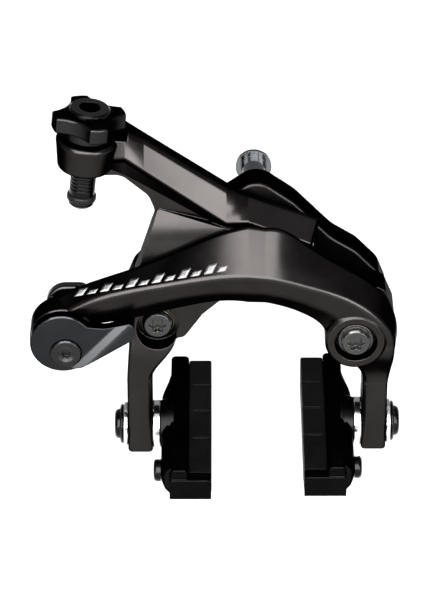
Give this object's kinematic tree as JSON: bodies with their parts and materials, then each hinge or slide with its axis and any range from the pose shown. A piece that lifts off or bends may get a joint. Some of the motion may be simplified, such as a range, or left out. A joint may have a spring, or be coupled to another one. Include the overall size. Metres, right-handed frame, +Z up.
{
  "type": "rim brake caliper",
  "caption": "Dual-pivot side-pull rim brake caliper for a road wheel, with quick-release lever, barrel adjuster, cartridge shoes and recessed crown nut.",
  "frame": {"origin": "centre of the crown seat's rear face, on the mounting bolt's axis", "axes": "+Y to the rear along the mounting bolt, +Z up, +X to the right seen from the front"},
  "size_m": [0.1113, 0.1051, 0.1189],
  "materials": {
    "dark_anodised": "satin black anodised",
    "arm_grey": "glossy dark grey anodised",
    "polished_steel": "polished",
    "bolt_steel": "satin",
    "anchor_steel": "dark satin",
    "spring_steel": "oiled",
    "bush_bronze": "sintered",
    "lever_grey": "glossy dark grey anodised",
    "adjuster_grey": "satin dark grey anodised",
    "black_plastic": "matte",
    "ring_rubber": "matte",
    "black_steel": "black oxide",
    "holder_black": "satin black anodised",
    "pad_rubber": "moulded"
  },
  "bodies": {
    "bridge": {"bridge_plate": "dark_anodised", "seat_washer": "polished_steel", "mounting_bolt": "polished_steel", "pivot_bolt_left": "bolt_steel", "pivot_bolt_right": "bolt_steel", "thrust_washer_left": "polished_steel", "thrust_washer_right": "polished_steel", "return_spring_left": "spring_steel", "return_spring_right": "spring_steel"},
    "crown_nut": {"crown_nut": "polished_steel"},
    "front_arm": {"front_arm": "arm_grey", "front_arm_bush": "bush_bronze", "roller_pin": "bolt_steel", "anchor_bolt": "anchor_steel", "anchor_seat": "anchor_steel", "cable_plate": "anchor_steel", "anchor_nut": "bolt_steel"},
    "link_roller": {"link_roller": "bolt_steel"},
    "quick_release": {"qr_lever": "lever_grey", "qr_cam": "bush_bronze"},
    "rear_arm": {"rear_arm": "arm_grey", "rear_arm_bush": "bush_bronze"},
    "centring_screw": {"centring_screw": "bolt_steel"},
    "adjuster_knob": {"adjuster_knob": "adjuster_grey", "detent_washer": "black_plastic"},
    "adjuster_bolt": {"adjuster_bolt": "adjuster_grey", "adjuster_ring": "ring_rubber"},
    "left_carrier": {"left_shoe_bolt": "black_steel", "left_bolt_washer": "black_steel", "left_cup_washer": "polished_steel", "left_inner_washer": "polished_steel"},
    "left_shoe": {"left_shoe_holder": "holder_black", "left_brake_pad": "pad_rubber", "left_pad_screw": "black_steel"},
    "right_carrier": {"right_shoe_bolt": "black_steel", "right_bolt_washer": "black_steel", "right_cup_washer": "polished_steel", "right_inner_washer": "polished_steel"},
    "right_shoe": {"right_shoe_holder": "holder_black", "right_brake_pad": "pad_rubber", "right_pad_screw": "black_steel"}
  },
  "joints": [
    {"name": "front_arm_swing", "type": "hinge", "parent": "bridge", "child": "front_arm", "pos_m": [0.0295, -0.0223, -0.013], "axis": [0, 1, 0], "range_deg": [0, 10], "stiffness_Nm_per_rad": 1.2, "springref_deg": -20.05},
    {"name": "rear_arm_swing", "type": "hinge", "parent": "bridge", "child": "rear_arm", "pos_m": [-0.0295, -0.0172, -0.013], "axis": [0, 1, 0], "range_deg": [-10, 0], "stiffness_Nm_per_rad": 1.2, "springref_deg": 20.05},
    {"name": "link_roller_spin", "type": "hinge", "parent": "front_arm", "child": "link_roller", "pos_m": [0, -0.0192, 0.0026], "axis": [0, 1, 0], "continuous": true},
    {"name": "quick_release_turn", "type": "hinge", "parent": "front_arm", "child": "quick_release", "pos_m": [-0.0565, -0.033, -0.0155], "axis": [0, 1, 0], "range_deg": [0, 90]},
    {"name": "centring_screw_turn", "type": "hinge", "parent": "rear_arm", "child": "centring_screw", "pos_m": [0.013, -0.0168, 0.0116], "axis": [1, 0, 0], "range_deg": [-360, 360]},
    {"name": "adjuster_turn", "type": "hinge", "parent": "rear_arm", "child": "adjuster_knob", "pos_m": [-0.0489, -0.02, 0.05344], "axis": [0.1045, 0, 0.9945], "range_deg": [0, 1800]},
    {"name": "adjuster_travel", "type": "slide", "parent": "rear_arm", "child": "adjuster_bolt", "axis": [0.1045, 0, 0.9945], "range_m": [0, 0.005]},
    {"name": "crown_nut_travel", "type": "slide", "parent": "bridge", "child": "crown_nut", "axis": [0, 1, 0], "range_m": [0, 0.012]},
    {"name": "left_shoe_height", "type": "slide", "parent": "rear_arm", "child": "left_carrier", "axis": [0, 0, 1], "range_m": [0, 0.01]},
    {"name": "left_shoe_pitch", "type": "hinge", "parent": "left_carrier", "child": "left_shoe", "pos_m": [-0.0275, -0.021, -0.05], "axis": [1, 0, 0], "range_deg": [-6, 6]},
    {"name": "right_shoe_height", "type": "slide", "parent": "front_arm", "child": "right_carrier", "axis": [0, 0, 1], "range_m": [0, 0.01]},
    {"name": "right_shoe_pitch", "type": "hinge", "parent": "right_carrier", "child": "right_shoe", "pos_m": [0.0285, -0.021, -0.0488], "axis": [1, 0, 0], "range_deg": [-6, 6]}
  ],
  "couplings": [
    {"joint": "rear_arm_swing", "follows": "front_arm_swing", "ratio": -1},
    {"joint": "adjuster_turn", "follows": "adjuster_travel", "rad_per_m": 6283.2}
  ]
}
